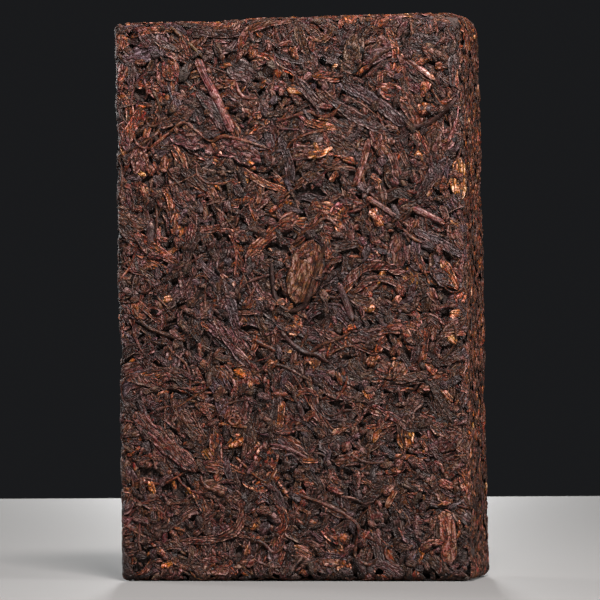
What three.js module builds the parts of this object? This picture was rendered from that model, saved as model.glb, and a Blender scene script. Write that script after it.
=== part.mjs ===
// A pressed brick of pu erh tea, standing on its short end.
// Millimetres, +Z up. The wide front face looks along -Y, and the origin is at the middle of the base.
import * as THREE from "three";
import { mergeVertices } from "three/addons/utils/BufferGeometryUtils.js";

// Driving sizes of the brick.
const WIDTH = 90;
const THICKNESS = 24;
const HEIGHT = 140;

// How finely each side is divided, and how strongly its divisions crowd towards the edges.
const COLUMNS = 24;
const LAYERS = 8;
const ROWS = 34;
const CROWDING = 0.6;

// The mould leaves tight edges, and one upper corner came out softer than the rest.
const EDGE_RADIUS = 2.2;
const SOFT_CORNER = { at: new THREE.Vector3(WIDTH / 2, 0, HEIGHT), reach: 22, radius: 5.5 };

// Leaves leave the faces uneven: broad swells and smaller lumps, all pressed in from the mould's walls.
const SWELLS = [
  { wave: 31, depth: 0.22, turn: 0.4 },
  { wave: 17, depth: 0.18, turn: 1.9 },
  { wave: 9.5, depth: 0.14, turn: 3.1 },
];
// The base is flat, and the relief grows in over this height above it.
const BASE_FADE = 7;

// Places where leaves have broken away: centre, reach and depth of each dent.
const CHIPS = [
  { at: [-45, -8, 58], reach: 3.2, depth: 1.5 },
  { at: [-45, -10, 112], reach: 2.6, depth: 0.9 },
  { at: [45, -4, 7], reach: 5.5, depth: 1.6 },
  { at: [45, 8, 96], reach: 4.5, depth: 0.9 },
  { at: [-20, -12, 140], reach: 5, depth: 0.9 },
  { at: [26, 12, 139], reach: 6, depth: 1.1 },
  { at: [-44, 12, 30], reach: 5, depth: 1.3 },
  { at: [10, -12, 3], reach: 4, depth: 1.0 },
  { at: [42, 12, 44], reach: 4.5, depth: 1.2 },
].map(({ at, reach, depth }) => ({ at: new THREE.Vector3(...at), reach, depth }));

const HALF = new THREE.Vector3(WIDTH / 2, THICKNESS / 2, HEIGHT / 2);
const MIDDLE = new THREE.Vector3(0, 0, HEIGHT / 2);

// Moves a place from -1 to 1 along a side towards its ends, so that the rounded edges get enough facets.
function crowd(place) {
  return (1 - CROWDING) * place + CROWDING * Math.sin((place * Math.PI) / 2);
}

// The edge radius at a point, which swells smoothly near the soft corner.
function edgeRadius(point) {
  const near = Math.hypot(point.x - SOFT_CORNER.at.x, point.z - SOFT_CORNER.at.z) / SOFT_CORNER.reach;
  return EDGE_RADIUS + (SOFT_CORNER.radius - EDGE_RADIUS) * Math.exp(-near * near);
}

// Rounds a point of the sharp box, given from the box's middle, and returns it with its outward normal.
function rounded(point) {
  const radius = edgeRadius(point.clone().add(MIDDLE));
  const inner = HALF.clone().subScalar(radius);
  const core = point.clone().clamp(inner.clone().negate(), inner);
  const normal = point.clone().sub(core).normalize();
  return { place: core.addScaledVector(normal, radius), normal };
}

// How far the leaves lie inside the mould's wall at a point, from 0 up.
function relief(point) {
  return SWELLS.reduce((sum, { wave, depth, turn }) => {
    const k = (2 * Math.PI) / wave;
    const lumps =
      Math.sin(k * point.x + turn) *
      Math.sin(k * 0.9 * point.z + 2 * turn) *
      Math.cos(k * 1.1 * point.y + 3 * turn);
    return sum + (depth * (1 + lumps)) / 2;
  }, 0);
}

// The depth of the broken places at a point.
function chipped(point) {
  return CHIPS.reduce((sum, { at, reach, depth }) => {
    const near = point.distanceTo(at) / reach;
    return sum + depth * Math.exp(-near * near);
  }, 0);
}

function brickGeometry() {
  const box = new THREE.BoxGeometry(2, 2, 2, COLUMNS, LAYERS, ROWS);
  box.deleteAttribute("normal");
  box.deleteAttribute("uv");
  const geometry = mergeVertices(box);
  const positions = geometry.getAttribute("position");
  for (let i = 0; i < positions.count; i++) {
    const unit = new THREE.Vector3().fromBufferAttribute(positions, i);
    const sharp = new THREE.Vector3(crowd(unit.x), crowd(unit.y), crowd(unit.z)).multiply(HALF);
    const { place, normal } = rounded(sharp);
    place.add(MIDDLE);
    const grown = THREE.MathUtils.smoothstep(place.z, 0, BASE_FADE);
    place.addScaledVector(normal, -grown * (relief(place) + chipped(place)));
    positions.setXYZ(i, place.x, place.y, place.z);
  }
  // The relief can shift the outer box a little, so the brick is set square on its origin again.
  geometry.computeBoundingBox();
  const bounds = geometry.boundingBox;
  const centre = bounds.getCenter(new THREE.Vector3());
  geometry.translate(-centre.x, -centre.y, -bounds.min.z);
  return geometry;
}

function teaBrick() {
  const pressedTea = new THREE.MeshStandardMaterial({ color: 0x4e3732, roughness: 0.7, metalness: 0 });
  const mesh = new THREE.Mesh(brickGeometry(), pressedTea);
  mesh.name = "tea_brick";
  return mesh;
}

const part = new THREE.Group();
part.add(teaBrick());

export default part;
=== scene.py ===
"""The looks of a pressed brick of pu erh tea: real leaves, stems, tendrils and crumbs over a smaller core.

Shapes are worked out in millimetres. Each face of the brick is a sheet with coordinates (a, b) and a height h
above the rounded box. Strips of leaf are laid on a sheet one after another, each resting on what lies below,
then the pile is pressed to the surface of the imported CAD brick, and each strip becomes a closed mesh.
"""

import math
from dataclasses import dataclass
from functools import lru_cache, reduce

import bpy
import numpy as np
from mathutils import Matrix, Vector
from mathutils.bvhtree import BVHTree


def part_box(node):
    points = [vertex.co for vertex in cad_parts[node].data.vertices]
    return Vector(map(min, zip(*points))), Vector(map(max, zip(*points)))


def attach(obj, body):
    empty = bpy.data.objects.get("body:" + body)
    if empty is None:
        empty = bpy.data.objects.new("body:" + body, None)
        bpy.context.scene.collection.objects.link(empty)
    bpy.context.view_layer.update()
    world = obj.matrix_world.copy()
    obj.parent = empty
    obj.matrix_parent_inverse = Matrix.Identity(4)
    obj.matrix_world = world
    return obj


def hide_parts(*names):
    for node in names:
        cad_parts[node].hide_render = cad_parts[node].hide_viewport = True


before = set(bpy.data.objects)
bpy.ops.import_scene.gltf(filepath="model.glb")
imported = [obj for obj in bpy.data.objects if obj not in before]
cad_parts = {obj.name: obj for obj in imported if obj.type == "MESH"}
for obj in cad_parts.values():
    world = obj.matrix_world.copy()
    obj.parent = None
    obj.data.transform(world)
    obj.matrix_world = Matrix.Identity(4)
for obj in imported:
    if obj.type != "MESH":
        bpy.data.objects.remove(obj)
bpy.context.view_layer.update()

MM = 0.001

BRICK_LOW, BRICK_HIGH = (np.array(corner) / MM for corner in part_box("tea_brick"))
MIDDLE = (BRICK_LOW + BRICK_HIGH) / 2
HALF = (BRICK_HIGH - BRICK_LOW) / 2

EDGE = 2.2  # radius of the brick's edges
WRAP = 3.4  # how far round an edge the leaves of a wide face may run, along the bend
TUCK = 0.9  # how far round those edges the leaves of a narrow face run
CELL = 0.25  # grid of the height map
CORE_DEPTH = 1.4  # depth of the core under the surface
TOP_GIVE = 0.45  # height over which the mould squeezes what stands proud
GAP_GIVE = 0.85  # height over which it closes the hollows
LEAST_SEEN = 0.4  # square millimetres of a strip that must show for it to be kept

# ---------------------------------------------------------------- colours


def linear(code):
    """A colour in linear light from its sRGB code."""
    channels = np.array([(code >> shift & 255) / 255 for shift in (16, 8, 0)])
    return np.where(channels < 0.04045, channels / 12.92, ((channels + 0.055) / 1.055) ** 2.4)


class Tint:
    """A leaf's colour, its family of pieces, and the tint that such leaves drift towards."""

    def __init__(self, code, family, related):
        self.colour = linear(code)
        self.family = family
        self.related = related


TINTS = {
    "black": Tint(0x35231D, "dark", "umber"),
    "slate": Tint(0x473A39, "dark", "plum"),
    "umber": Tint(0x4F3226, "brown", "brown"),
    "plum": Tint(0x5A3733, "plum", "brown"),
    "brown": Tint(0x623F33, "brown", "chestnut"),
    "fawn": Tint(0x684E40, "plum", "umber"),
    "chestnut": Tint(0x6D3F33, "russet", "russet"),
    "russet": Tint(0x86482E, "russet", "brown"),
    "mauve": Tint(0x7B5045, "plum", "plum"),
    "tan": Tint(0x8F5C47, "golden", "brown"),
    "gold": Tint(0xBC8463, "golden", "tan"),
    "amber": Tint(0xB4642E, "russet", "russet"),
    "pale": Tint(0xC29284, "golden", "plum"),
}
# Painted shade: the near-black colour painted at the bottom of every crease and gap, where shade falls, and
# on the core's low lumps.
PAINTED_SHADE = (*linear(0x140602), 1.0)  # what shows at the bottom of every crease and gap

HUE_SPREAD = (0.0, 0.05, 0.08)  # how far a leaf's own red, green and blue stray from its tint
BRIGHTNESS = (0.75, 1.3)  # how dark and bright a leaf may be, against its tint
DRIFT_BRIGHTNESS = (0.85, 1.15)  # the same for the tint that it drifts towards
DRIFT_WAVE = 3.0  # length over which it drifts
CUT_END = 0.5  # length of a stem's paler end
GAP_FADE = 1.15  # depth over which the light fades in the gaps

# How often each tint comes up among the random strips.
COMMON = {"black": 0.25, "slate": 0.18, "umber": 0.20, "plum": 0.15, "brown": 0.15, "chestnut": 0.07}
LEAFY = {**COMMON, "russet": 0.04, "tan": 0.015}
THIN = {"umber": 0.3, "plum": 0.2, "brown": 0.3, "chestnut": 0.15, "tan": 0.05}
WOODY = {"plum": 0.5, "chestnut": 0.25, "mauve": 0.25}
EDGEWISE = {"umber": 0.3, "brown": 0.24, "black": 0.18, "chestnut": 0.14, "tan": 0.09, "russet": 0.05,
            "amber": 0.02, "gold": 0.02}
MIXED = {**COMMON, "russet": 0.08, "amber": 0.03, "tan": 0.06, "gold": 0.03}

# ---------------------------------------------------------------- kinds of strip


@dataclass
class Kind:
    """How strips of one kind are shaped. Lengths are in millimetres, and ratios are of the width."""

    columns: int  # points across the upper side
    step: float  # spacing of the rings along the strip
    crown: float  # height of the middle, as a ratio
    ridge: float = 0.0  # height of the folds that run along it
    crumple: float = 0.0  # height of the random creasing
    rim: float = 0.0  # how far the edges curl up
    veins: float = 0.0  # height of the ribs that slant across
    blunt: float = 2.5  # how square the ends are
    dive: float = 0.0  # how deep the ends go down among the neighbours
    bend: float = 0.05  # turn of the whole route, in radians for each millimetre
    wiggle: float = 0.05  # turn that changes along the route
    ragged: float = 0.15  # how uneven the outline is
    settle: float = 1.4  # length over which the strip evens out what lies below
    give: float = 0.5  # share of the shape below that shows through
    sink: float = 0.25  # how far it is pressed into what lies below
    thick: float = 0.3  # depth of the underside


KINDS = {
    "rolled": Kind(9, 0.6, 0.13, ridge=0.13, crumple=0.08, rim=0.05, dive=0.35, ragged=0.22, bend=0.08,
                   wiggle=0.11, give=0.4, sink=0.06),
    "broad": Kind(11, 0.62, 0.03, ridge=0.06, crumple=0.16, rim=0.2, veins=0.04, blunt=2.2, dive=0.15,
                  ragged=0.2, give=0.6, sink=0.03),
    "tendril": Kind(3, 0.6, 0.5, crumple=0.05, bend=0.1, wiggle=0.22, blunt=9, dive=0.3, ragged=0.15,
                    settle=0.9, sink=0.05),
    "stem": Kind(5, 0.9, 0.34, ridge=0.03, crumple=0.02, bend=0.01, wiggle=0.012, blunt=14, ragged=0.05,
                 settle=4.0, give=0.05, sink=0.1, thick=0.6),
    "bit": Kind(4, 0.55, 0.14, ridge=0.12, crumple=0.2, rim=0.1, blunt=2.8, ragged=0.35, give=0.5, sink=0.04),
    "smooth": Kind(13, 0.62, 0.06, ridge=0.03, crumple=0.06, rim=0.1, blunt=2.0, ragged=0.09, give=0.15,
                 sink=-0.1),
    "crumb": Kind(3, 0.6, 0.32, crumple=0.2, blunt=2.5, bend=0.2, ragged=0.35, settle=0.7, sink=0.05,
                  thick=0.35),
    "sliver": Kind(3, 0.6, 0.35, crumple=0.14, blunt=4, dive=0.2, bend=0.02, wiggle=0.06, ragged=0.3,
                   sink=0.08),
}

# ---------------------------------------------------------------- small helpers


def smooth_noise(rng, count, every, lanes=1):
    """Values from -1 to 1 in side-by-side lanes that drift smoothly, with a new value every so many steps."""
    knots = rng.uniform(-1, 1, (int(count / every) + 3, lanes))
    place = np.arange(count) / every + rng.uniform(0, 1)
    low = place.astype(int)
    blend = (place - low)[:, None]
    blend = blend * blend * (3 - 2 * blend)
    return knots[low] * (1 - blend) + knots[low + 1] * blend


@lru_cache(maxsize=None)
def refine(count, factor):
    """The matrix that reads a line of count values at factor times as many places."""
    if factor == 1:
        return np.eye(count)
    place = np.linspace(0, count - 1, (count - 1) * factor + 1)
    low = np.minimum(place.astype(int), count - 2)
    matrix = np.zeros((len(place), count))
    rows = np.arange(len(place))
    matrix[rows, low] = 1 - (place - low)
    matrix[rows, low + 1] = place - low
    return matrix


@lru_cache(maxsize=None)
def blur(count, spread):
    """The matrix that evens out a line of count values over so many steps."""
    gap = np.arange(count)[:, None] - np.arange(count)[None, :]
    matrix = np.exp(-0.5 * (gap / max(spread, 0.1)) ** 2)
    return matrix / matrix.sum(1, keepdims=True)


def bell(place, reach):
    return np.exp(-((place / reach) ** 2))


def pick(rng, weights):
    names = list(weights)
    shares = np.array([weights[name] for name in names])
    return names[rng.choice(len(names), p=shares / shares.sum())]


def add_object(name, data, material=None):
    """Puts a mesh, a light or a camera into the scene, with its material if it has one."""
    thing = bpy.data.objects.new(name, data)
    bpy.context.scene.collection.objects.link(thing)
    if material:
        data.materials.append(material)
    return thing


# ---------------------------------------------------------------- the brick's faces


MARGIN = 1.5  # how far a face's maps go on beyond its leaves
INSET_STEP = 1.5  # grid on which the CAD brick's surface is measured
RAY_START = 4.0  # height from which that surface is looked for


class Face:
    """One face of the brick as a sheet that wraps round the brick's edges."""

    def __init__(self, across, up, out, overhang):
        self.axes = [np.array(axis, float) for axis in (across, up, out)]
        self.half = np.array([abs(axis @ HALF) for axis in self.axes])
        self.flat = self.half[:2] - EDGE
        self.limit = self.flat + overhang
        self.reach = self.limit + MARGIN
        self.inset = self.measure_inset()

    def place(self, a, b, height):
        """Points of space for sheet places, and the outward directions there."""
        over_a = a - np.clip(a, -self.flat[0], self.flat[0])
        over_b = b - np.clip(b, -self.flat[1], self.flat[1])
        over = np.hypot(over_a, over_b)
        turn = np.minimum(over / EDGE, math.pi / 2)
        safe = np.maximum(over, 1e-9)
        sides = np.sin(turn) / safe
        out_a, out_b, out_n = over_a * sides, over_b * sides, np.cos(turn)
        radius = EDGE + height
        points = (
            MIDDLE
            + (a - over_a + out_a * radius)[..., None] * self.axes[0]
            + (b - over_b + out_b * radius)[..., None] * self.axes[1]
            + (self.half[2] - EDGE + out_n * radius - (over - turn * EDGE))[..., None] * self.axes[2]
        )
        out = sum(part[..., None] * axis for part, axis in zip((out_a, out_b, out_n), self.axes))
        return points, out

    def moulded(self, a, b, height):
        """Points of space for sheet places, stopped by the walls of the mould."""
        return np.clip(self.place(a, b, height)[0], BRICK_LOW, BRICK_HIGH)

    def measure_inset(self):
        """The height of the CAD brick's surface, which lies inside the plain rounded box, on a grid."""
        lines = [np.arange(int(2 * reach / INSET_STEP) + 2) * INSET_STEP - reach for reach in self.reach]
        a, b = np.meshgrid(*lines, indexing="ij")
        points, out = self.place(a, b, np.full(a.shape, RAY_START))
        inset = np.full(a.shape, -1.0)
        for index in np.ndindex(a.shape):
            distance = BRICK_TREE.ray_cast(Vector(points[index] * MM), Vector(-out[index]))[3]
            if distance is not None:
                inset[index] = RAY_START - distance / MM
        return np.clip(inset, -RAY_START, 0.0)

    def inset_at(self, a, b):
        """The inset read between the grid's points."""
        place_a = np.clip((a + self.reach[0]) / INSET_STEP, 0, self.inset.shape[0] - 1.001)
        place_b = np.clip((b + self.reach[1]) / INSET_STEP, 0, self.inset.shape[1] - 1.001)
        i, j = place_a.astype(int), place_b.astype(int)
        s, t = place_a - i, place_b - j
        low = self.inset[i, j] * (1 - s) + self.inset[i + 1, j] * s
        high = self.inset[i, j + 1] * (1 - s) + self.inset[i + 1, j + 1] * s
        return low * (1 - t) + high * t


def brick_tree():
    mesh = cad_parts["tea_brick"].data
    return BVHTree.FromPolygons([v.co for v in mesh.vertices], [p.vertices[:] for p in mesh.polygons])


BRICK_TREE = brick_tree()

FACES = {
    "front": Face((1, 0, 0), (0, 0, 1), (0, -1, 0), (WRAP, WRAP)),
    "back": Face((-1, 0, 0), (0, 0, 1), (0, 1, 0), (WRAP, WRAP)),
    "right": Face((0, 1, 0), (0, 0, 1), (1, 0, 0), (TUCK, WRAP)),
    "left": Face((0, -1, 0), (0, 0, 1), (-1, 0, 0), (TUCK, WRAP)),
    "top": Face((1, 0, 0), (0, 1, 0), (0, 0, 1), (TUCK, TUCK)),
    "bottom": Face((1, 0, 0), (0, -1, 0), (0, 0, -1), (TUCK, TUCK)),
}

# ---------------------------------------------------------------- strips

# Lengths over which the features of a strip change, in millimetres.
OUTLINE_WAVE = 2.2
LEAN_WAVE = 1.6
SEAM_WAVE = 3.0
CROWN_WAVE = 4.0
FOLD_WAVE = 2.5
CREASE_WAVE = 1.1
VEIN_PITCH = 1.5
ROUTE_WAVE = 5.0

NARROW = 2.4  # width under which a leaf has fewer columns
HOOPS = 2.6  # raised rings on the large oval leaf, from its middle to its rim
HOOP_HEIGHT = 0.08
HOOPED = 8.0  # width over which a leaf has such rings


class Strip:
    """A leaf, stem, tendril or crumb on a face: a grid of places and heights, rings by columns."""

    def __init__(self, rng, kind, tint, route, width, coarse=1.0, rings=0.0, dive=1.0):
        self.kind, self.shape, self.tint = kind, KINDS[kind], tint
        self.along = np.concatenate([[0], np.cumsum(np.hypot(*np.diff(route, axis=0).T))])
        self.from_middle = 2 * self.along / self.along[-1] - 1
        self.lay_out(rng, route, width, coarse)
        self.raise_up(rng, rings, dive)
        self.seed = rng.uniform(0, 90)
        self.twist = rng.normal(0, 0.25) if kind == "rolled" else 0.0
        self.height = None

    def noise(self, rng, wave, lanes=1):
        """Smooth noise along the strip: a value for each ring in each lane."""
        return smooth_noise(rng, len(self.along), wave / self.shape.step, lanes)

    def lay_out(self, rng, route, width, coarse):
        """Places the grid on the sheet, with an uneven outline that narrows towards both ends."""
        shape = self.shape
        blunt = shape.blunt * rng.uniform(0.8, 3.5)
        taper = (1 - np.abs(self.from_middle) ** blunt * 0.93) ** 0.6
        uneven = 1 + shape.ragged * self.noise(rng, OUTLINE_WAVE)[:, 0]
        self.half_width = width / 2 * taper * uneven

        columns = shape.columns
        if columns > 5 and (coarse > 1 or width < NARROW):
            columns -= 2
        q = np.linspace(-1, 1, columns)
        self.inner = np.abs(q) < 0.99
        wander = self.noise(rng, SEAM_WAVE, columns)
        self.q = q[None, :] + 0.3 * (q[1] - q[0]) * self.inner * wander

        ahead = np.gradient(route, axis=0)
        ahead /= np.maximum(np.hypot(*ahead.T), 1e-9)[:, None]
        aside = np.stack([-ahead[:, 1], ahead[:, 0]], 1)
        lean = shape.ragged * 0.5 * self.noise(rng, LEAN_WAVE, 2) * width / 2
        shift = np.where(self.q < 0, lean[:, :1], lean[:, 1:]) * np.abs(self.q)
        reach = self.q * self.half_width[:, None] + shift
        self.a = route[:, :1] + aside[:, :1] * reach
        self.b = route[:, 1:] + aside[:, 1:] * reach

    def raise_up(self, rng, rings, dive):
        """Gives the grid its relief: crown, folds, creases, curled edges, ribs, hoops and diving ends."""
        shape, q = self.shape, self.q
        columns = q.shape[1]
        from_middle = self.from_middle[:, None]
        wide = 2 * self.half_width[:, None]
        dome = np.sqrt(np.maximum(1 - np.abs(q) ** 2.4, 0))
        body = shape.crown * wide * dome * (1 + 0.25 * self.noise(rng, CROWN_WAVE))
        parity = np.where(np.arange(columns) % 2 == 1, 1.0, -1.0) * self.inner
        strength = 0.75 + 0.6 * self.noise(rng, FOLD_WAVE, columns)
        folds = shape.ridge * parity * strength
        creases = shape.crumple * self.noise(rng, CREASE_WAVE, columns)
        rims = 0.7 + 0.9 * self.noise(rng, FOLD_WAVE, 2)
        curl = shape.rim * np.abs(q) ** 4 * np.where(q < 0, rims[:, :1], rims[:, 1:])
        slant = self.along[:, None] / VEIN_PITCH - np.abs(q) * 0.9
        ribs = shape.veins * (np.cos(2 * math.pi * slant) - 2.0 * bell(q, 0.12)) * self.inner
        hoops = rings * np.cos(2 * math.pi * np.hypot(q, from_middle * 1.1) * HOOPS)
        thin = np.clip(wide / 0.8, 0.25, 1)
        detail = (folds + creases + ribs + hoops) * thin
        ends = shape.dive * dive * np.abs(from_middle) ** 3
        self.rise = body + detail + curl - ends
        self.crest = np.clip(0.5 + (detail + curl) / 0.4 + 0.2 * (dome - 0.7), 0, 1)

    def grid(self, values, spacing=CELL * 0.8):
        """Values read so finely that no cell of the height map is missed."""
        along = max(1, math.ceil(self.shape.step / spacing))
        across = max(1, math.ceil(2 * self.half_width.max() / (self.q.shape[1] - 1) / spacing))
        return refine(values.shape[0], along) @ values @ refine(values.shape[1], across).T

    def keep(self, first, last):
        """Cuts the strip down to the rings from first up to last."""
        for name in ("along", "half_width", "q", "a", "b", "crest", "height"):
            setattr(self, name, getattr(self, name)[first:last])


def free_route(rng, start, heading, length, kind, coarse):
    """A route that sets off from the middle of a strip both ways, and bends as its kind does."""
    shape = KINDS[kind]
    count = max(3, int(round(length / (shape.step * coarse))) + 1)
    step = length / (count - 1)
    turn = rng.normal(0, shape.bend) + shape.wiggle * smooth_noise(rng, count, ROUTE_WAVE / step)[:, 0]
    headings = heading + np.cumsum(turn) * step
    headings -= headings[count // 2] - heading
    walk = np.stack([np.cos(headings), np.sin(headings)], 1) * step
    walk = np.cumsum(walk, 0)
    return np.array(start) + walk - walk[count // 2]


def drawn_route(points, step):
    """A smooth route through a few chosen points."""
    points = np.array(points, float)
    if len(points) > 2:
        ends = np.vstack([2 * points[0] - points[1], points, 2 * points[-1] - points[-2]])
        t = np.linspace(0, 1, 12, endpoint=False)[:, None]
        pieces = []
        for p0, p1, p2, p3 in zip(ends, ends[1:], ends[2:], ends[3:]):
            bend = (2 * p0 - 5 * p1 + 4 * p2 - p3) * t**2 + (3 * p1 - 3 * p2 + p3 - p0) * t**3
            pieces.append(0.5 * (2 * p1 + (p2 - p0) * t + bend))
        points = np.vstack(pieces + [points[-1:]])
    far = np.concatenate([[0], np.cumsum(np.hypot(*np.diff(points, axis=0).T))])
    count = max(4, int(round(far[-1] / step)) + 1)
    at = np.linspace(0, far[-1], count)
    return np.stack([np.interp(at, far, points[:, 0]), np.interp(at, far, points[:, 1])], 1)


def whorl_route(centre, radius, turns, step):
    """A spiral that opens out from near its centre, a little lower than it is wide."""
    angle = np.linspace(0, 2 * math.pi * turns, int(turns * 26))
    size = radius * (0.22 + 0.78 * angle / angle[-1])
    points = np.stack([centre[0] + size * np.cos(angle), centre[1] + size * np.sin(angle) * 0.85], 1)
    return drawn_route(points[::3], step)


# ---------------------------------------------------------------- the pile of strips on a face


BED_WAVE = 12  # cells over which the bed that the first strips lie on rises and falls
BED_RELIEF = 0.15  # height of that bed's unevenness
NEAR_BLUR = 0.6  # length over which a strip follows the shape right below it
FOLLOW = (-0.5, 0.3)  # how far down and up from its bed it follows that shape
SUNK_REACH = 1.6  # how far round its spot a fallen crumb finds the deepest place
GENERAL_BLUR = 2.6  # width over which the pile's general height is taken
BESIDE_BLUR = 0.35  # width over which the neighbours that shade a point are taken
SHADE_DEPTH = 0.28  # depth below its neighbours at which a point is fully shaded
COVERED = 0.04  # depth under the top of the pile at which a point no longer shows


class Pile:
    """Strips laid on a face one after another, with a map of the height reached so far."""

    def __init__(self, face, rng, field):
        self.face, self.rng, self.field = face, rng, field
        self.size = [int(2 * reach / CELL) + 2 for reach in face.reach]
        self.top = BED_RELIEF * smooth_noise(rng, self.size[0], BED_WAVE, self.size[1])
        self.strips = []

    def cells(self, a, b):
        """The cells of the height map at sheet places."""
        i = np.clip(((a + self.face.reach[0]) / CELL + 0.5).astype(int), 0, self.size[0] - 1)
        j = np.clip(((b + self.face.reach[1]) / CELL + 0.5).astype(int), 0, self.size[1] - 1)
        return i, j

    def lay(self, strip):
        """Rests a strip on the pile, pressed a little into it."""
        strip_below = self.top[self.cells(strip.a, strip.b)]
        shape = strip.shape
        even = blur(len(strip.along), round(shape.settle / shape.step, 2))
        # A strip rests between the highest and the mean of what lies across it.
        below = even @ (0.55 * strip_below.max(1) + 0.45 * strip_below.mean(1))
        near = blur(len(strip.along), round(NEAR_BLUR / shape.step, 2)) @ strip_below
        follow = np.clip(near - below[:, None], *FOLLOW)
        strip.height = below[:, None] + shape.give * follow + strip.rise - shape.sink
        fine = strip.grid(strip.height)
        np.maximum.at(self.top, self.cells(strip.grid(strip.a), strip.grid(strip.b)), fine)
        self.strips.append(strip)

    def inside(self, route):
        """The longest run of a route that stays on the sheet."""
        ok = np.all(np.abs(route) < self.face.limit, axis=1)
        if ok.all():
            return route
        best, start = (0, 0), None
        for index, good in enumerate(np.append(ok, False)):
            if good and start is None:
                start = index
            if not good and start is not None:
                best = max(best, (index - start, start))
                start = None
        return route[best[1]:best[1] + best[0]]

    def scatter(self, kind, coverage, lengths, widths, tints, spread, coarse=1.0, sunk=False):
        """Lays random strips until their area covers the face so many times."""
        rng = self.rng
        area = 4 * self.face.half[0] * self.face.half[1] * coverage
        while area > 0:
            length = rng.uniform(*lengths) * rng.uniform(0.8, 1.1)
            width = widths[0] + (widths[1] - widths[0]) * rng.uniform() ** 1.4
            area -= length * width * 0.8
            spot = rng.uniform(-1, 1, 2) * (self.face.limit + 0.3 * length)
            if sunk:
                spot = self.lowest_near(spot)
            heading = self.field(*spot) + rng.normal(0, spread)
            route = self.inside(free_route(rng, spot, heading, length, kind, coarse))
            if len(route) < 3:
                continue
            self.lay(Strip(rng, kind, pick(rng, tints), route, width, coarse))

    def lowest_near(self, spot):
        """The deepest of a few places round a spot, where a crumb would fall."""
        tries = spot + self.rng.normal(0, SUNK_REACH, (6, 2))
        return tries[np.argmin(self.top[self.cells(tries[:, 0], tries[:, 1])])]

    def evened(self, width):
        """The height map, evened out over a width."""
        return blur(self.size[0], width / CELL) @ self.top @ blur(self.size[1], width / CELL).T

    def press(self):
        """Presses the pile to the mould: strips keep their order, but all tops end near the wall."""
        general = self.evened(GENERAL_BLUR)
        beside = self.evened(BESIDE_BLUR)
        kept = []
        for strip in self.strips:
            a, b = strip.grid(strip.a), strip.grid(strip.b)
            shown = strip.grid(strip.height) >= self.top[self.cells(a, b)] - COVERED
            rows = np.flatnonzero(shown.any(1))
            if shown.mean() * 2 * strip.half_width.mean() * strip.along[-1] < LEAST_SEEN:
                continue
            factor = (len(a) - 1) // (len(strip.along) - 1)
            first = max(rows[0] // factor - 1, 0)
            last = min(rows[-1] // factor + 3, len(strip.along))
            if last - first < 3:
                continue
            strip.keep(first, last)
            cells = self.cells(strip.a, strip.b)
            above = strip.height - general[cells]
            give = np.where(above > 0, TOP_GIVE, GAP_GIVE)
            strip.open = np.sign(above) * give * (1 - np.exp(-np.abs(above) / give)) - 0.4 * TOP_GIVE
            strip.shade = np.clip((beside[cells] - strip.height) / SHADE_DEPTH, 0, 1)
            strip.height = self.face.inset_at(strip.a, strip.b) + strip.open
            kept.append(strip)
        self.strips = kept


# ---------------------------------------------------------------- strips to closed meshes

FULL_DEPTH = 0.6  # half width from which a strip has its full depth
LEAST_DEPTH = 0.35  # share of that depth that its narrowest parts keep
TIP_REACH = 0.5  # how far a point stands beyond the last ring, as a share of the half width
BOX_MARGIN = 0.3  # room in the texture for the fan at each end
BOX_GAP = 0.12  # room between two boxes in the texture


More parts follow.
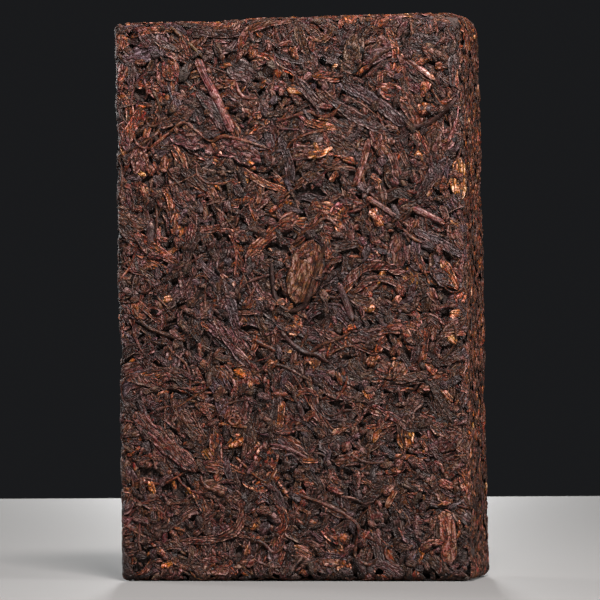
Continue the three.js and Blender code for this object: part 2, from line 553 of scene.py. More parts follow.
class Tube:
    """A strip as a closed tube: rings of points, a point at each end, and a box in the texture.

    Each ring has the strip's own points on its upper side and one more, the last, underneath.
    """

    def __init__(self, strip, face):
        self.strip = strip
        low = np.minimum(strip.height[:, 0], strip.height[:, -1])
        depth = strip.shape.thick * np.clip(strip.half_width / FULL_DEPTH, LEAST_DEPTH, 1)
        a, b = (np.column_stack([sheet, (sheet[:, 0] + sheet[:, -1]) / 2]) for sheet in (strip.a, strip.b))
        height = np.column_stack([strip.height, low - depth])
        self.rings = face.moulded(a, b, height)

        tips = []
        for index, inner in ((0, 1), (-1, -2)):
            push = TIP_REACH * strip.half_width[index]
            middle = np.array([a[index].mean(), b[index].mean()])
            before = np.array([a[inner].mean(), b[inner].mean()])
            ahead = (middle - before) / max(np.hypot(*(middle - before)), 1e-9)
            tip = middle + ahead * push
            tips.append(face.moulded(tip[0], tip[1], height[index].mean()))
        self.tips = np.array(tips)

        under = np.zeros((len(strip.along), 1))
        across = np.hstack([strip.q * strip.half_width[:, None], under])
        along = np.repeat(strip.along[:, None], across.shape[1], 1)
        slanted = across + strip.twist * along + 2 * strip.seed
        self.grain = np.stack([along + strip.seed, slanted, np.full(across.shape, strip.seed * 3)], 2)
        self.across = np.hstack([strip.q, under + 1.0])
        self.crest = np.hstack([strip.crest, under + 0.2])
        self.open = np.hstack([strip.open, under - 1.0])
        self.shade = np.hstack([strip.shade, under + 1.0])

        width = 2 * strip.half_width.max()
        segments = strip.q.shape[1] - 1
        gaps = [width / segments] * segments + [0.15 * width + 0.06] * 2
        self.box_columns = np.concatenate([[0], np.cumsum(gaps)])
        self.box = np.array([self.box_columns[-1], strip.along[-1] - strip.along[0] + 2 * BOX_MARGIN])

    def faces(self):
        """Quads between rings and a fan at each end, as indices into this tube's points."""
        count, columns = self.rings.shape[:2]
        ring, column = np.meshgrid(np.arange(count - 1), np.arange(columns), indexing="ij")
        after = (column + 1) % columns
        near, far = ring * columns + column, ring * columns + after
        quads = np.stack([near, near + columns, far + columns, far], -1).reshape(-1, 4)
        here = np.arange(columns)
        there = (here + 1) % columns
        base = (count - 1) * columns
        start = np.stack([here, there, np.full(columns, count * columns)], -1)
        finish = np.stack([base + there, base + here, np.full(columns, count * columns + 1)], -1)
        return quads, np.vstack([start, finish])

    def texture(self, origin, scale):
        """Texture places of every face corner, in the order of faces()."""
        count, columns = self.rings.shape[:2]
        across = origin[0] + self.box_columns * scale
        up = origin[1] + (self.strip.along - self.strip.along[0] + BOX_MARGIN) * scale
        ring, column = np.meshgrid(np.arange(count - 1), np.arange(columns), indexing="ij")
        corners = [(column, ring), (column, ring + 1), (column + 1, ring + 1), (column + 1, ring)]
        quads = np.stack([np.stack([across[c], up[r]], -1) for c, r in corners], 2).reshape(-1, 2)
        here = np.arange(columns)
        middle = np.full(columns, origin[0] + self.box[0] * scale / 2)
        fans = []
        ends = ((up[0], origin[1], (0, 1)), (up[-1], origin[1] + self.box[1] * scale, (1, 0)))
        for near, far, order in ends:
            pair = [np.stack([across[here + k], np.full(columns, near)], -1) for k in order]
            fans.append(np.stack(pair + [np.stack([middle, np.full(columns, far)], -1)], 1).reshape(-1, 2))
        return np.vstack([quads] + fans)


def shelve(boxes):
    """Sets boxes side by side on shelves in a square, and returns their corners and the square's side."""
    gap = BOX_GAP
    order = np.argsort([-box[1] for box in boxes])
    side = math.sqrt(sum((box[0] + gap) * (box[1] + gap) for box in boxes)) * 1.01
    while True:
        corners, x, y, tall = np.zeros((len(boxes), 2)), gap, gap, 0.0
        for index in order:
            wide, high = boxes[index]
            if x + wide + gap > side:
                x, y, tall = gap, y + tall + gap, 0.0
            corners[index] = x, y
            x += wide + gap
            tall = max(tall, high)
        if y + tall + gap <= side:
            return corners, side
        side *= 1.02


def build_piece(name, tubes, material):
    """Joins tubes into one mesh, with its colours, its grain and its texture map."""
    places, side = shelve([tube.box for tube in tubes])
    points, grains, tints, lights, edges, faces, texture = [], [], [], [], [], [], []
    start = 0
    for tube, place in zip(tubes, places):
        points += [tube.rings.reshape(-1, 3), tube.tips]
        grains += [tube.grain.reshape(-1, 3), tube.grain[[0, -1]].mean(1)]
        tints.append(tube_tint(tube))
        lights.append(tube_painted_light(tube))
        edges += [np.abs(tube.across).ravel(), np.zeros(2)]
        faces += [group + start for group in tube.faces()]
        texture.append(tube.texture(place / side, 1 / side))
        start += tube.across.size + 2

    mesh = bpy.data.meshes.new(name)
    mesh.vertices.add(start)
    mesh.vertices.foreach_set("co", (np.vstack(points) * MM).ravel())
    corners = np.concatenate([group.ravel() for group in faces]).astype(np.int32)
    mesh.loops.add(len(corners))
    mesh.loops.foreach_set("vertex_index", corners)
    sizes = np.concatenate([np.full(len(group), group.shape[1]) for group in faces])
    starts = np.concatenate([[0], np.cumsum(sizes)[:-1]]).astype(np.int32)
    mesh.polygons.add(len(sizes))
    mesh.polygons.foreach_set("loop_start", starts)
    mesh.polygons.foreach_set("use_smooth", np.ones(len(sizes), bool))
    mesh.uv_layers.new(name="OFBake").data.foreach_set("uv", np.vstack(texture).ravel())
    # The tint carries painted highlights and painted shade along with the leaves' own colour, and light
    # carries painted shade and shadow.
    for attribute, kind, field, rows in (
        ("tint", "FLOAT_COLOR", "color", tints),
        ("grain", "FLOAT_VECTOR", "vector", grains),
        ("light", "FLOAT", "value", lights),
        ("edge", "FLOAT", "value", edges),
    ):
        values = np.concatenate(rows).ravel()
        mesh.attributes.new(attribute, kind, "POINT").data.foreach_set(field, values)
    mesh.update()
    mesh.validate()
    return add_object(name, mesh, material)


def patches_and_foot_shade(points):
    """Broad darker and lighter patches over the brick, with painted shade that makes it darkest near its
    foot.
    """
    x, y, z = np.moveaxis(points, -1, 0)
    broad = np.sin(x / 6.5 + y / 5 + 1.0) * np.sin(z / 8 + 2.0)
    fine = np.sin(x / 3.4 - z / 4.1 + y / 4 + 3.0)
    return 1 + 0.13 * (broad + 0.7 * fine) - 0.2 * (1 - z / BRICK_HIGH[2])


def tube_tint(tube):
    """Colours of a tube's points: its own tint, drifting towards a related one, with painted highlights on
    the ridges, painted shade in the folds and painted shade towards the brick's foot.
    """
    strip = tube.strip
    rng = np.random.default_rng(int(strip.seed * 1e6))
    count, columns = tube.rings.shape[:2]
    own = TINTS[strip.tint].colour * rng.uniform(*BRIGHTNESS) * rng.normal(1, HUE_SPREAD)
    other = TINTS[TINTS[strip.tint].related].colour
    other = other * rng.uniform(*DRIFT_BRIGHTNESS) * rng.normal(1, HUE_SPREAD)
    drift = smooth_noise(rng, count, DRIFT_WAVE / strip.shape.step, columns // 3 + 2)
    lane = np.arange(columns) * (columns // 3 + 1) // columns
    share = np.clip(0.3 + 0.6 * drift[:, lane], 0, 1)[..., None]
    # Painted highlight on the ridges and painted shade in the folds, by crest, times the broad patches and
    # the painted shade towards the foot.
    bright = (0.45 + 1.1 * tube.crest) * patches_and_foot_shade(tube.rings)
    colour = (own * (1 - share) + other * share) * bright[..., None]
    if strip.kind == "stem":
        pale = bell(np.minimum(strip.along - strip.along[0], strip.along[-1] - strip.along), CUT_END)
        colour += pale[:, None, None] * 0.6 * TINTS["tan"].colour
    ends = colour[[0, -1]].mean(1)
    rows = np.vstack([colour.reshape(-1, 3), ends])
    return np.hstack([rows, np.ones((len(rows), 1))])


def tube_painted_light(tube):
    """Painted light of a tube's points: painted shade that reaches 0 at the bottom of a gap, darkens the
    folds and falls beside higher neighbours, and 1 on open ridges at the brick's surface.
    """
    # Painted shade deepening down the gaps, painted shade in the folds against painted highlight on the
    # ridges, and painted shadow beside higher neighbours.
    ridges = 0.6 + 0.4 * np.clip(tube.crest * 1.6, 0, 1)
    light = np.clip(1.1 + (tube.open + 0.1) / GAP_FADE, 0.05, 1.0) * ridges * (1 - 0.95 * tube.shade)
    return np.concatenate([light.ravel(), light[[0, -1]].mean(1)])


# ---------------------------------------------------------------- what lies on each face


def swirl(mean, waves):
    """A field of headings that sweeps about over a face, so that neighbours tend to lie alike.

    Each wave has a strength, a length, a direction and a phase.
    """

    def heading(a, b):
        total = mean
        for strength, wave, angle, phase in waves:
            far = a * math.cos(angle) + b * math.sin(angle)
            total += strength * math.sin(far * 2 * math.pi / wave + phase)
        return total

    return heading


FLOWS = {
    "front": swirl(-0.75, [(0.8, 62, 0.4, 0.5), (0.55, 37, 1.9, 2.2), (0.35, 23, 2.8, 4.0)]),
    "back": swirl(0.5, [(0.8, 58, 1.0, 1.5), (0.6, 33, 2.3, 0.2), (0.35, 21, 0.2, 3.0)]),
    "right": swirl(math.pi / 2, [(0.12, 30, 1.57, 0)]),
    "left": swirl(math.pi / 2, [(0.12, 26, 1.57, 2)]),
    "top": swirl(0, [(0.12, 27, 0, 0)]),
    "bottom": swirl(0, [(0.12, 24, 0, 1)]),
}
# How coarsely the strips of a face are divided, against the front's.
COARSE = {"front": 1.0, "back": 1.5, "right": 1.3, "left": 1.3, "top": 1.3, "bottom": 1.3}

# Layers of random strips, from the deepest up: their kind, how many times over they cover the face, their
# ranges of length and width, their tints, and how far their headings stray from the face's flow.
BROADSIDE_LAYERS = [
    ("broad", 0.45, (7, 13), (4.0, 7.0), LEAFY, 0.9),
    ("rolled", 0.5, (8, 18), (1.8, 4.0), LEAFY, 0.6),
    ("bit", 0.25, (2.4, 6), (1.0, 2.6), MIXED, 1.5),
    ("rolled", 0.45, (7, 17), (1.8, 4.2), LEAFY, 0.45),
    ("tendril", 0.05, (8, 20), (0.7, 1.2), THIN, 0.7),
    ("broad", 0.4, (6, 13), (3.0, 6.0), LEAFY, 0.8),
    ("bit", 0.12, (2.4, 6), (1.0, 2.6), MIXED, 1.5),
    ("rolled", 0.35, (7, 17), (2.0, 4.6), LEAFY, 0.5),
    ("broad", 0.2, (4, 9), (2.6, 5.4), MIXED, 1.0),
    ("rolled", 0.18, (4, 11), (0.9, 2.2), LEAFY, 0.8),
    ("tendril", 0.06, (7, 18), (0.5, 1.1), THIN, 0.8),
    ("bit", 0.07, (2, 5), (0.8, 2.0), MIXED, 1.5),
]
EDGEWISE_LAYERS = [
    ("rolled", 0.45, (3, 8), (1.4, 2.8), EDGEWISE, 0.4),
    ("sliver", 0.8, (2, 6), (0.6, 1.5), EDGEWISE, 0.4),
    ("bit", 0.35, (1.4, 3.6), (0.8, 1.8), EDGEWISE, 0.8),
    ("sliver", 0.7, (1.8, 5), (0.5, 1.2), EDGEWISE, 0.45),
    ("bit", 0.12, (1.0, 3), (0.7, 1.5), EDGEWISE, 1.2),
    ("tendril", 0.03, (4, 9), (0.5, 0.9), THIN, 0.4),
]
BACK_STEMS = ("stem", 0.03, (8, 16), (1.6, 2.6), WOODY, 0.8)

# What fell into the hollows, given in the same way.
BROADSIDE_FALLEN = [
    ("bit", 0.28, (2, 5), (1.2, 2.6), LEAFY, 1.5),
    ("crumb", 0.12, (0.8, 2.2), (0.5, 1.1), MIXED, 1.5),
]
EDGEWISE_FALLEN = [
    ("bit", 0.15, (1.5, 3), (0.8, 1.8), EDGEWISE, 0.9),
    ("crumb", 0.25, (0.8, 2.0), (0.5, 1.1), MIXED, 0.9),
]

# The strips that stand out on the front: kind, tint, width, and places (x, z) from the middle of its base.
LANDMARKS = [
    ("broad", "chestnut", 4.5, (-42.5, 138), (-42.5, 133)),
    ("rolled", "plum", 2.0, (-42, 130), (-43.5, 121)),
    ("rolled", "slate", 2.0, (-39.5, 130), (-40.5, 122)),
    ("rolled", "plum", 2.2, (-43.5, 114), (-41, 107.5)),
    ("broad", "mauve", 4.5, (-38.5, 107.5), (-37.5, 100.5)),
    ("broad", "umber", 4.0, (-33, 113.5), (-24, 117.5)),
    ("broad", "umber", 5.5, (-21.5, 113.5), (-15, 113)),
    ("rolled", "slate", 2.2, (-32.5, 139.5), (-28.5, 138), (-25.5, 136)),
    ("rolled", "black", 2.4, (-24, 137), (-17, 136), (-9.5, 136.5)),
    ("rolled", "slate", 1.6, (-34, 135), (-28, 132.5)),
    ("tendril", "fawn", 1.1, (-30, 138.5), (-26.5, 135.5), (-24.5, 133.5), (-21, 130)),
    ("tendril", "fawn", 0.8, (-34.5, 122.5), (-33, 119.5), (-32.5, 116.5)),
    ("rolled", "slate", 2.4, (-2, 110), (0, 104.5), (1, 98)),
    ("rolled", "slate", 2.6, (-3, 131), (1, 129.5), (5, 128.5)),
    ("rolled", "umber", 2.6, (3, 137.5), (4, 133.5), (5.5, 130)),
    ("broad", "slate", 4.5, (7, 132), (14.5, 128.5)),
    ("broad", "fawn", 6.5, (18.5, 135), (15.5, 125)),
    ("rolled", "chestnut", 2.8, (6.5, 125), (14, 124)),
    ("rolled", "slate", 3.4, (2.5, 124), (9.5, 116)),
    ("rolled", "umber", 2.6, (8, 121.5), (12.5, 117)),
    ("tendril", "brown", 1.2, (-3, 113.5), (2, 115), (5.5, 116), (9, 114.5), (12, 115.5), (14, 118)),
    ("tendril", "plum", 0.8, (-2.5, 112), (4, 111.5)),
    ("broad", "umber", 6.0, (10.5, 109.5), (18, 104)),
    ("bit", "gold", 1.8, (5, 105), (9, 105.5), (11.5, 107)),
    ("bit", "gold", 1.4, (7, 108.5), (8, 106)),
    ("tendril", "fawn", 0.8, (20, 105), (18, 106), (18, 108), (20, 109)),
    ("rolled", "plum", 1.6, (20.5, 125), (22, 123), (25.5, 121.5), (29.5, 122)),
    ("bit", "russet", 2.8, (33, 115.5), (37.5, 116)),
    ("tendril", "black", 1.6, (30, 111.5), (33, 111.5), (36, 112.5), (39.5, 115), (43, 118.5)),
    ("rolled", "chestnut", 2.4, (33, 110.5), (34.5, 107.5), (35.5, 104.5)),
    ("broad", "slate", 4.0, (37.5, 103), (37.5, 99.5)),
    ("bit", "russet", 2.2, (37, 138.5), (41.5, 137)),
    ("bit", "russet", 2.4, (-9, 133), (-8.5, 129.5)),
    ("bit", "tan", 2.2, (-7.5, 122), (-5, 124)),
    ("bit", "gold", 2.2, (-11.5, 102), (-10.5, 98.5)),
    ("bit", "tan", 1.2, (-30, 106.5), (-30.5, 103)),
    ("bit", "tan", 1.2, (-27.5, 107), (-26, 103)),
    ("bit", "russet", 1.8, (-4.5, 101), (-1, 97.5)),
    ("broad", "plum", 5.5, (-30, 111), (-18, 108.5), (-6, 104)),
    ("tendril", "brown", 1.1, (-36, 107.5), (-30, 112), (-26, 114), (-20, 109.5),
     (-15.5, 110.5), (-4.5, 107)),
    ("stem", "mauve", 2.7, (-23, 130), (-14, 111.5)),
    ("rolled", "chestnut", 2.4, (-26.5, 136), (-25, 130)),
    ("rolled", "chestnut", 2.0, (-40, 136), (-35, 137.5), (-29, 137)),
    ("broad", "chestnut", 6.5, (-30.5, 130), (-30.5, 123)),
    ("rolled", "russet", 2.2, (-14, 103.5), (-7, 99), (-0.5, 96.5)),
    ("rolled", "slate", 3.0, (-23, 122), (-19, 117), (-16.5, 112)),
    ("broad", "slate", 5.5, (-15, 128), (-8, 125)),
    ("rolled", "brown", 2.2, (-12.5, 131), (-10, 136), (-5, 138), (2, 139)),
    ("rolled", "slate", 3.2, (13.5, 122.5), (21, 119), (30, 112)),
    ("rolled", "slate", 3.0, (11, 119), (18, 114), (26, 110)),
    ("tendril", "brown", 0.6, (14, 120), (19, 117.5), (25, 112.5)),
    ("rolled", "black", 2.6, (31, 125.5), (34, 123), (37, 121)),
    ("stem", "pale", 1.8, (28.5, 129.5), (37.5, 123)),
    ("tendril", "umber", 1.0, (20, 125.5), (24, 129.5), (29.5, 131.5)),
    ("broad", "chestnut", 4.5, (23, 121.5), (31, 118.5)),
    ("broad", "slate", 6.0, (31, 133), (39, 130)),
    ("rolled", "slate", 3.2, (43, 131), (42, 121)),
    ("tendril", "pale", 0.8, (44, 117.5), (42.5, 112), (40.5, 107)),
    ("stem", "mauve", 2.2, (21, 109), (17, 97)),
    ("tendril", "brown", 0.9, (21.5, 104), (19, 99.5), (20.5, 96), (23, 93.5)),
    ("broad", "gold", 5.5, (44, 103.5), (43.5, 99), (44, 93.5)),
    ("rolled", "russet", 2.0, (4.5, 114), (12.5, 111.5)),
    ("broad", "tan", 4.5, (-28, 92), (-28.5, 86)),
    ("stem", "slate", 2.4, (-35.5, 89.5), (-36, 83.5)),
    ("rolled", "chestnut", 2.6, (-40, 87), (-34, 82.5), (-28.5, 79)),
    ("rolled", "chestnut", 2.2, (-37, 80), (-31, 77)),
    ("bit", "gold", 1.7, (-32.5, 70), (-30, 70.5)),
    ("rolled", "russet", 1.8, (-10, 95), (-8, 89)),
    ("rolled", "chestnut", 3.6, (-10.5, 80.5), (-4, 86.5), (2.5, 91)),
    ("smooth", "brown", 9.0, (1.5, 69), (4, 76), (6, 84)),
    ("tendril", "black", 1.5, (-4.5, 80), (-4.5, 75.5), (-3.5, 69.5), (-0.5, 67),
     (3, 67.5), (5, 71), (8, 80), (10, 84)),
    ("tendril", "umber", 1.2, (-40.5, 68), (-37, 63.5), (-32, 61.5), (-27.5, 60)),
    ("stem", "brown", 1.8, (20, 94.5), (28, 89)),
    ("bit", "gold", 3.4, (21, 91.5), (24, 87.5)),
    ("stem", "mauve", 2.0, (31.5, 91.5), (39.5, 87.5)),
    ("rolled", "umber", 2.0, (33, 93.5), (28, 90), (24, 85)),
    ("broad", "plum", 7.0, (28.5, 85.5), (27.5, 76.5)),
    ("tendril", "brown", 1.0, (2, 85), (6, 87.5), (9.5, 89.5), (13, 87)),
    ("rolled", "slate", 2.4, (31, 86.5), (38, 83), (44, 79.5)),
    ("rolled", "russet", 2.4, (38.5, 79), (42.5, 71.5)),
    ("rolled", "brown", 2.4, (13.5, 73), (19, 77), (24, 77.5), (30, 75)),
    ("rolled", "brown", 2.0, (16, 71), (22, 74.5), (30, 72)),
    ("stem", "slate", 2.0, (12.5, 73.5), (16, 64)),
    ("broad", "plum", 4.0, (15.5, 60), (24, 61.5)),
    ("bit", "russet", 2.6, (19.5, 53), (22.5, 56)),
    ("bit", "amber", 2.6, (-14.5, 52.5), (-11.5, 51)),
    ("bit", "amber", 1.8, (14.5, 62), (17, 63)),
    ("rolled", "slate", 3.0, (-15.5, 70.5), (-14.5, 65.5), (-13.5, 62)),
    ("rolled", "plum", 2.6, (-19.5, 65.5), (-15, 58.5), (-10.5, 53)),
    ("tendril", "fawn", 1.0, (-13, 69), (-12.5, 72.5), (-9.5, 74.5), (-5, 76)),
    ("tendril", "chestnut", 1.2, (-9.5, 60), (-7, 58.5), (-4, 57), (-1.5, 53.5)),
    ("tendril", "slate", 1.5, (-2.5, 62), (0, 59), (3.5, 56.5), (6.5, 56), (9.5, 54)),
    ("tendril", "umber", 1.1, (5, 56.5), (8.5, 58.5), (13, 60), (15.5, 61.5)),
    ("rolled", "russet", 1.5, (0, 45.5), (3.5, 47), (7.5, 46)),
    ("bit", "gold", 2.4, (40, 60), (42, 58)),
    ("rolled", "brown", 4.4, (-40.5, 42), (-33, 34.5), (-24.5, 27.5)),
    ("rolled", "russet", 1.6, (-41.5, 29.5), (-34, 32)),
    ("bit", "amber", 3.2, (-16.5, 33.5), (-12.5, 36)),
    ("bit", "amber", 2.4, (-37, 25), (-35.5, 21.5)),
    ("bit", "amber", 2.4, (-34, 3.5), (-31, 4.5)),
    ("bit", "amber", 2.0, (20, 34), (22.5, 38)),
    ("tendril", "tan", 1.0, (-15, 31), (-11, 27.5), (-6.5, 24.5), (-4, 28)),
    ("bit", "mauve", 2.2, (-32.5, 19.5), (-26.5, 20)),
    ("rolled", "brown", 2.6, (-12.5, 18), (-14.5, 13), (-20, 10.5), (-28, 10)),
    ("tendril", "brown", 1.0, (-12.5, 11), (-8, 9.5), (-5, 7), (-2, 9)),
    ("broad", "brown", 5.0, (-24.5, 3.5), (-16.5, 4)),
    ("tendril", "brown", 1.2, (1, 21.5), (8, 19), (13, 16.5), (16.5, 13), (15.5, 6.5), (19.5, 4), (21.5, 6)),
    ("smooth", "tan", 5.0, (38, 17), (39, 11), (39, 4.5)),
    ("rolled", "black", 1.6, (36.5, 17), (36.2, 11), (37, 6)),
    ("rolled", "tan", 1.4, (24, 30.5), (31.5, 30.5)),
    ("rolled", "black", 3.0, (17.5, 18.5), (24, 25)),
]

# The tendrils that curl up on themselves: tint, centre and radius.
WHORLS = [("plum", (-38, 73.5), 2.6), ("tan", (-15, 40), 2.0), ("umber", (-35, 115), 2.6)]


def lay_landmarks(pile):
    """The front's own strips, and the tendrils that curl up on themselves."""
    middle = HALF[2]
    for kind, tint, width, *places in LANDMARKS:
        route = drawn_route([(x, z - middle) for x, z in places], KINDS[kind].step)
        rings = HOOP_HEIGHT if width > HOOPED else 0.0
        pile.lay(Strip(pile.rng, kind, tint, pile.inside(route), width, rings=rings, dive=0.3))
    for tint, (x, z), radius in WHORLS:
        route = whorl_route((x, z - middle), radius, 1.3, KINDS["tendril"].step)
        pile.lay(Strip(pile.rng, "tendril", tint, route, 1.0))


def make_piles():
    """The pressed pile of strips on each face."""
    piles = []
    for number, (name, face) in enumerate(FACES.items()):
        pile = Pile(face, np.random.default_rng(1000 + number), FLOWS[name])
        wide = name in ("front", "back")
        for layer in BROADSIDE_LAYERS if wide else EDGEWISE_LAYERS:
            pile.scatter(*layer, COARSE[name])
        if name == "front":
            lay_landmarks(pile)
        if name == "back":
            pile.scatter(*BACK_STEMS)
        for layer in BROADSIDE_FALLEN if wide else EDGEWISE_FALLEN:
            pile.scatter(*layer, sunk=True)
        pile.press()
        piles.append(pile)
    return piles


def piece_name(strip):
    """The piece that a strip belongs to."""
    family = TINTS[strip.tint].family
    if strip.kind == "smooth" or (family == "golden" and strip.kind not in ("tendril", "stem", "crumb")):
        return "smooth_leaves"
    if strip.kind in ("rolled", "sliver"):
        return "rolled_" + family
    if strip.kind in ("broad", "bit"):
        return strip.kind + ("_dark" if family == "dark" else "_brown")
    return strip.kind + "s"


# ---------------------------------------------------------------- materials


class Nodes:
    """A short way to write a material's nodes."""

    def __init__(self, name):
        self.material = bpy.data.materials.new(name)
        self.material.use_nodes = True
        self.tree = self.material.node_tree
        self.shader = self.tree.nodes["Principled BSDF"]

    def add(self, kind, inputs=None, **settings):
        node = self.tree.nodes.new(kind)
        for key, value in settings.items():
            setattr(node, key, value)
        for key, value in (inputs or {}).items():
            socket = node.inputs[key] if isinstance(key, int) else self.enabled(node.inputs, key)
            if isinstance(value, bpy.types.NodeSocket):
                self.tree.links.new(value, socket)
            else:
                socket.default_value = value
        return node

    @staticmethod
    def enabled(sockets, name):
        """The socket of that name which is in use, as a Mix node has one for each type of value."""
        return next(socket for socket in sockets if socket.name == name and socket.enabled)

    def math(self, operation, first, second=0.0):
        return self.add("ShaderNodeMath", {0: first, 1: second}, operation=operation).outputs[0]

    def times(self, first, second):
        return self.math("MULTIPLY", first, second)

    def total(self, *parts):
        """The sum of some values, each times its weight."""
        terms = [self.times(value, weight) for value, weight in parts]
        return reduce(lambda first, second: self.math("ADD", first, second), terms)

    def scaled(self, vector, scale):
        node = self.add("ShaderNodeVectorMath", {0: vector, 1: scale}, operation="MULTIPLY")
        return node.outputs[0]

    def noise(self, vector, scale, detail, distortion=0.0):
        inputs = {"Vector": vector, "Scale": scale, "Detail": detail, "Distortion": distortion}
        return self.add("ShaderNodeTexNoise", inputs).outputs["Fac"]

    def valleys(self, noise, steepness):
        """Thin lines of 0 where a noise crosses its middle, on a field of 1."""
        away = self.math("ABSOLUTE", self.math("SUBTRACT", noise, 0.5))
        return self.math("MINIMUM", self.times(away, steepness), 1.0)

    def mottle(self, noise, strength):
        """A noise turned into a factor round 1, stronger in the bright spots than in the dark ones."""
        return self.math("POWER", self.times(noise, 2.0), strength)

    def span(self, value, low, high, start=0.0, end=1.0):
        """A value that runs from start to end, stretched from low to high and held there beyond."""
        inputs = {"Value": value, "From Min": start, "From Max": end, "To Min": low, "To Max": high}
        return self.add("ShaderNodeMapRange", inputs).outputs[0]

    def attribute(self, name, output):
        """A value that the mesh carries at each of its points."""
        return self.add("ShaderNodeAttribute", attribute_name=name).outputs[output]

    def bump(self, height, depth):
        """Makes the surface uneven by a height, with a depth in millimetres."""
        node = self.add("ShaderNodeBump", {"Height": height, "Strength": 1.0, "Distance": depth * MM})
        self.link(node.outputs[0], "Normal")

    def link(self, socket, name):
        self.tree.links.new(socket, self.shader.inputs[name])


def leaf_material(name, along, across, depth, gloss, contrast=1.4):
    """Dried leaf: creases that run along the grain, mottled colour, a faint waxy gloss on the ridges, and
    painted light: painted shade in the creases, gaps and outlines, and painted highlights along the rims.

    along and across are the creases' counts for each millimetre, depth is their depth in millimetres, and
    contrast is the strength of the mottling and of the painted rim highlights.
    """
    nodes = Nodes(name)
    grain = nodes.attribute("grain", "Vector")
    tint = nodes.attribute("tint", "Color")
    # The mesh's painted light: painted shade in the gaps and folds and painted shadow beside higher
    # neighbours.
    light = nodes.attribute("light", "Fac")
    edge = nodes.attribute("edge", "Fac")
    folds = nodes.valleys(nodes.noise(nodes.scaled(grain, (along, across, 1)), 1.0, 1.0, 0.7), 12.0)
    creases = nodes.valleys(nodes.noise(nodes.scaled(grain, (0.5, 0.6, 1)), 1.0, 1.5, 1.2), 18.0)
    wrinkle = nodes.noise(nodes.scaled(grain, (0.9, 1.3, 1)), 1.0, 3.0, 0.3)
    pores = nodes.noise(nodes.scaled(grain, (2.4, 3.6, 1)), 1.0, 1.0)
    stain = nodes.noise(nodes.scaled(grain, (0.8, 1.0, 1)), 1.0, 3.0)
    # Painted highlight along the leaf's rims, which the bump below also raises.
    rim = nodes.times(nodes.span(edge, 0.0, 1.3 * contrast, 0.55, 0.8), wrinkle)

    # Painted shade: near-black in the creases, along the outlines and where the painted light is low.
    painted_light_share = nodes.times(nodes.times(folds, creases), nodes.span(edge, 1.0, 0.0, 0.8, 0.97))
    painted_light_share = nodes.times(painted_light_share, light)
    bright = nodes.times(nodes.mottle(wrinkle, contrast), nodes.mottle(pores, 0.8))
    bright = nodes.times(bright, nodes.math("ADD", rim, 1.0))
    bright = nodes.math("MINIMUM", bright, 1 + contrast)
    lit = nodes.add("ShaderNodeVectorMath", {0: tint, "Scale": bright}, operation="SCALE").outputs[0]
    # Painted shade is more saturated and painted highlights are paler.
    inputs = {
        "Color": lit,
        "Hue": nodes.span(stain, 0.45, 0.55),
        "Saturation": nodes.span(nodes.times(bright, painted_light_share), 1.7, 0.78, 0.1, 1.1),
    }
    varied = nodes.add("ShaderNodeHueSaturation", inputs).outputs[0]
    mix = nodes.add("ShaderNodeMix", {"Factor": painted_light_share, "A": PAINTED_SHADE, "B": varied}, data_type="RGBA")
    nodes.link(nodes.enabled(mix.outputs, "Result"), "Base Color")

    height = nodes.total((folds, 0.35), (creases, 0.3), (wrinkle, 0.8), (pores, 0.2), (rim, 0.4))
    nodes.bump(height, depth)
    nodes.link(nodes.span(wrinkle, gloss + 0.2, gloss - 0.1), "Roughness")
    nodes.shader.inputs["Specular IOR Level"].default_value = 0.25
    return nodes.material


def core_material():
    """The crumbly mass between the leaves."""
    nodes = Nodes("crumbly_core")
    place = nodes.add("ShaderNodeTexCoord").outputs["Object"]
    lumps = nodes.noise(place, 900.0, 4.0)
    dust = nodes.noise(place, 3500.0, 2.0)
    # Painted shade: the core shows only deep in the gaps, so its low lumps take the painted shade colour and
    # the rest a darkened umber.
    ramp = nodes.add("ShaderNodeValToRGB", {"Fac": lumps})
    ramp.color_ramp.elements[0].position = 0.35
    ramp.color_ramp.elements[0].color = PAINTED_SHADE
    ramp.color_ramp.elements[1].position = 0.7
    ramp.color_ramp.elements[1].color = (*TINTS["umber"].colour * 0.6, 1)
    nodes.link(ramp.outputs["Color"], "Base Color")
    height = nodes.math("ADD", lumps, nodes.times(dust, 0.3))
    nodes.bump(height, 0.6)
    nodes.link(nodes.span(dust, 0.6, 0.9), "Roughness")
    return nodes.material


MATERIALS = {
    "rolled_dark": leaf_material("dark_rolled_leaf", 0.26, 0.75, 0.45, 0.4),
    "rolled_brown": leaf_material("brown_rolled_leaf", 0.26, 0.75, 0.45, 0.44),
    "rolled_plum": leaf_material("plum_rolled_leaf", 0.26, 0.75, 0.45, 0.42),
    "rolled_russet": leaf_material("russet_rolled_leaf", 0.26, 0.8, 0.42, 0.47),
    "smooth_leaves": leaf_material("smooth_leaf", 0.2, 0.7, 0.3, 0.5, 0.7),
    "broad_dark": leaf_material("dark_flat_leaf", 0.3, 0.6, 0.5, 0.4),
    "broad_brown": leaf_material("brown_flat_leaf", 0.3, 0.6, 0.5, 0.45),
    "tendrils": leaf_material("leaf_stalk", 0.15, 1.6, 0.15, 0.44),
    "stems": leaf_material("stem_bark", 0.08, 2.2, 0.12, 0.46),
    "bit_dark": leaf_material("dark_torn_leaf", 0.4, 0.9, 0.45, 0.44),
    "bit_brown": leaf_material("brown_torn_leaf", 0.4, 0.9, 0.45, 0.47),
    "crumbs": leaf_material("leaf_crumb", 0.8, 1.2, 0.4, 0.5),
}

# ---------------------------------------------------------------- the core


CORE_PITCH = 1.4  # grid of the core's surface
CORE_EDGE = 1.0  # radius of its edges
LUMP_WAVES = (7.0, 3.4, 2.1)  # lengths of the waves that add up to its lumps, four of each
LUMP_HEIGHT = 0.09  # height of one wave
LUMP_SINK = 0.2  # how far the lumpy surface is set back


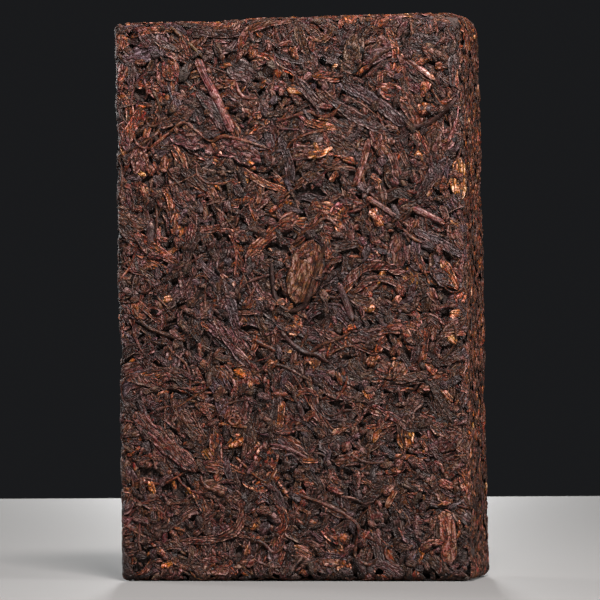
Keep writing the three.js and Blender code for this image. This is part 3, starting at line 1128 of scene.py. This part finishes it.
def build_core():
    """A closed rounded block under the leaves, with a surface of small lumps."""
    half = HALF - CORE_DEPTH
    counts = [max(2, int(2 * size / CORE_PITCH)) for size in half]
    index = {}
    points, quads = [], []

    def vertex(cell):
        if cell not in index:
            index[cell] = len(points)
            points.append([(2 * k / n - 1) * size for k, n, size in zip(cell, counts, half)])
        return index[cell]

    for axis in range(3):
        first, second = (axis + 1) % 3, (axis + 2) % 3
        for side in (0, counts[axis]):
            for i in range(counts[first]):
                for j in range(counts[second]):
                    ring = []
                    for di, dj in ((0, 0), (1, 0), (1, 1), (0, 1)):
                        cell = [0, 0, 0]
                        cell[axis], cell[first], cell[second] = side, i + di, j + dj
                        ring.append(vertex(tuple(cell)))
                    quads.append(ring if side else ring[::-1])
    points = np.array(points)
    inner = np.clip(points, -(half - CORE_EDGE), half - CORE_EDGE)
    away = points - inner
    away /= np.linalg.norm(away, axis=1, keepdims=True)
    lumps = np.zeros(len(points))
    rng = np.random.default_rng(7)
    for wave in LUMP_WAVES:
        for _ in range(4):
            ray = rng.normal(size=3)
            ray *= 2 * math.pi / wave / np.linalg.norm(ray)
            lumps += LUMP_HEIGHT * np.sin(points @ ray + rng.uniform(0, 6))
    points = inner + away * (CORE_EDGE + lumps[:, None] - LUMP_SINK) + MIDDLE
    mesh = bpy.data.meshes.new("core")
    mesh.from_pydata((points * MM).tolist(), [], quads)
    mesh.polygons.foreach_set("use_smooth", np.ones(len(quads), bool))
    mesh.update()
    return add_object("core", mesh, core_material())


# ---------------------------------------------------------------- floor, light and camera


def build_floor():
    mesh = bpy.data.meshes.new("floor")
    wide, near, far = 1.2, -1.3, 0.45
    corners = [(-wide, near, 0), (wide, near, 0), (wide, far, 0), (-wide, far, 0)]
    mesh.from_pydata(corners, [], [(0, 1, 2, 3)])
    nodes = Nodes("pale_floor")
    nodes.shader.inputs["Base Color"].default_value = (0.15, 0.147, 0.142, 1)
    nodes.shader.inputs["Roughness"].default_value = 0.7
    floor = add_object("floor", mesh, nodes.material)


def aim(thing, target, roll=0.0):
    """Points a light or camera at a place, rolled about its own view."""
    direction = Vector(target) - thing.location
    turn = direction.to_track_quat("-Z", "Y").to_matrix()
    thing.rotation_euler = (turn @ Matrix.Rotation(roll, 3, "Z")).to_euler()


def add_light(name, place, size, power, colour=(1, 1, 1)):
    data = bpy.data.lights.new(name, "AREA")
    data.shape = "RECTANGLE"
    data.size, data.size_y = size
    data.energy = power
    data.color = colour
    lamp = add_object(name, data)
    lamp.location = place
    aim(lamp, tuple(MIDDLE * MM))


def build_lights():
    add_light("key", (0.15, -0.33, 0.6), (0.13, 0.13), 10.4, (1.0, 0.96, 0.96))
    add_light("left_fill", (-0.85, -0.45, 0.5), (0.3, 0.3), 1.6, (0.8, 0.9, 1.0))
    add_light("right_fill", (0.9, -0.3, 0.4), (0.3, 0.3), 10.0)
    add_light("rear_left", (-0.9, 0.45, 0.45), (0.3, 0.3), 7.0)
    add_light("rear_low", (-0.246, 0.969, MIDDLE[2] * MM), (0.12, 0.2), 5.0)
    world = bpy.data.worlds.new("studio")
    bpy.context.scene.world = world
    world.use_nodes = True
    world.node_tree.nodes["Background"].inputs["Color"].default_value = (0.46, 0.48, 0.53, 1)
    world.node_tree.nodes["Background"].inputs["Strength"].default_value = 0.022


def build_camera():
    """A long lens a little to the right of the brick's front, just under its middle and looking up at it."""
    data = bpy.data.cameras.new("camera")
    data.lens = 227.8
    data.sensor_width = 36
    camera = add_object("camera", data)
    distance, height = 0.95, 0.0616
    side, tilt = math.radians(14.25), math.radians(0.9)
    target = Vector((-0.0003, 0, 0.0696))
    camera.location = target + distance * Vector((math.sin(side), -math.cos(side), 0))
    camera.location.z = height
    aim(camera, target, -tilt)
    bpy.context.scene.camera = camera
    bpy.context.scene.view_settings.view_transform = "Standard"


# ---------------------------------------------------------------- assembly


def finish_piece(piece):
    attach(piece, "root")
    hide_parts("tea_brick")


build_camera()
build_lights()
build_floor()
finish_piece(build_core())

groups = {}
for pile in make_piles():
    for strip in pile.strips:
        groups.setdefault(piece_name(strip), []).append(Tube(strip, pile.face))
for name in sorted(groups):
    finish_piece(build_piece(name, groups[name], MATERIALS[name]))
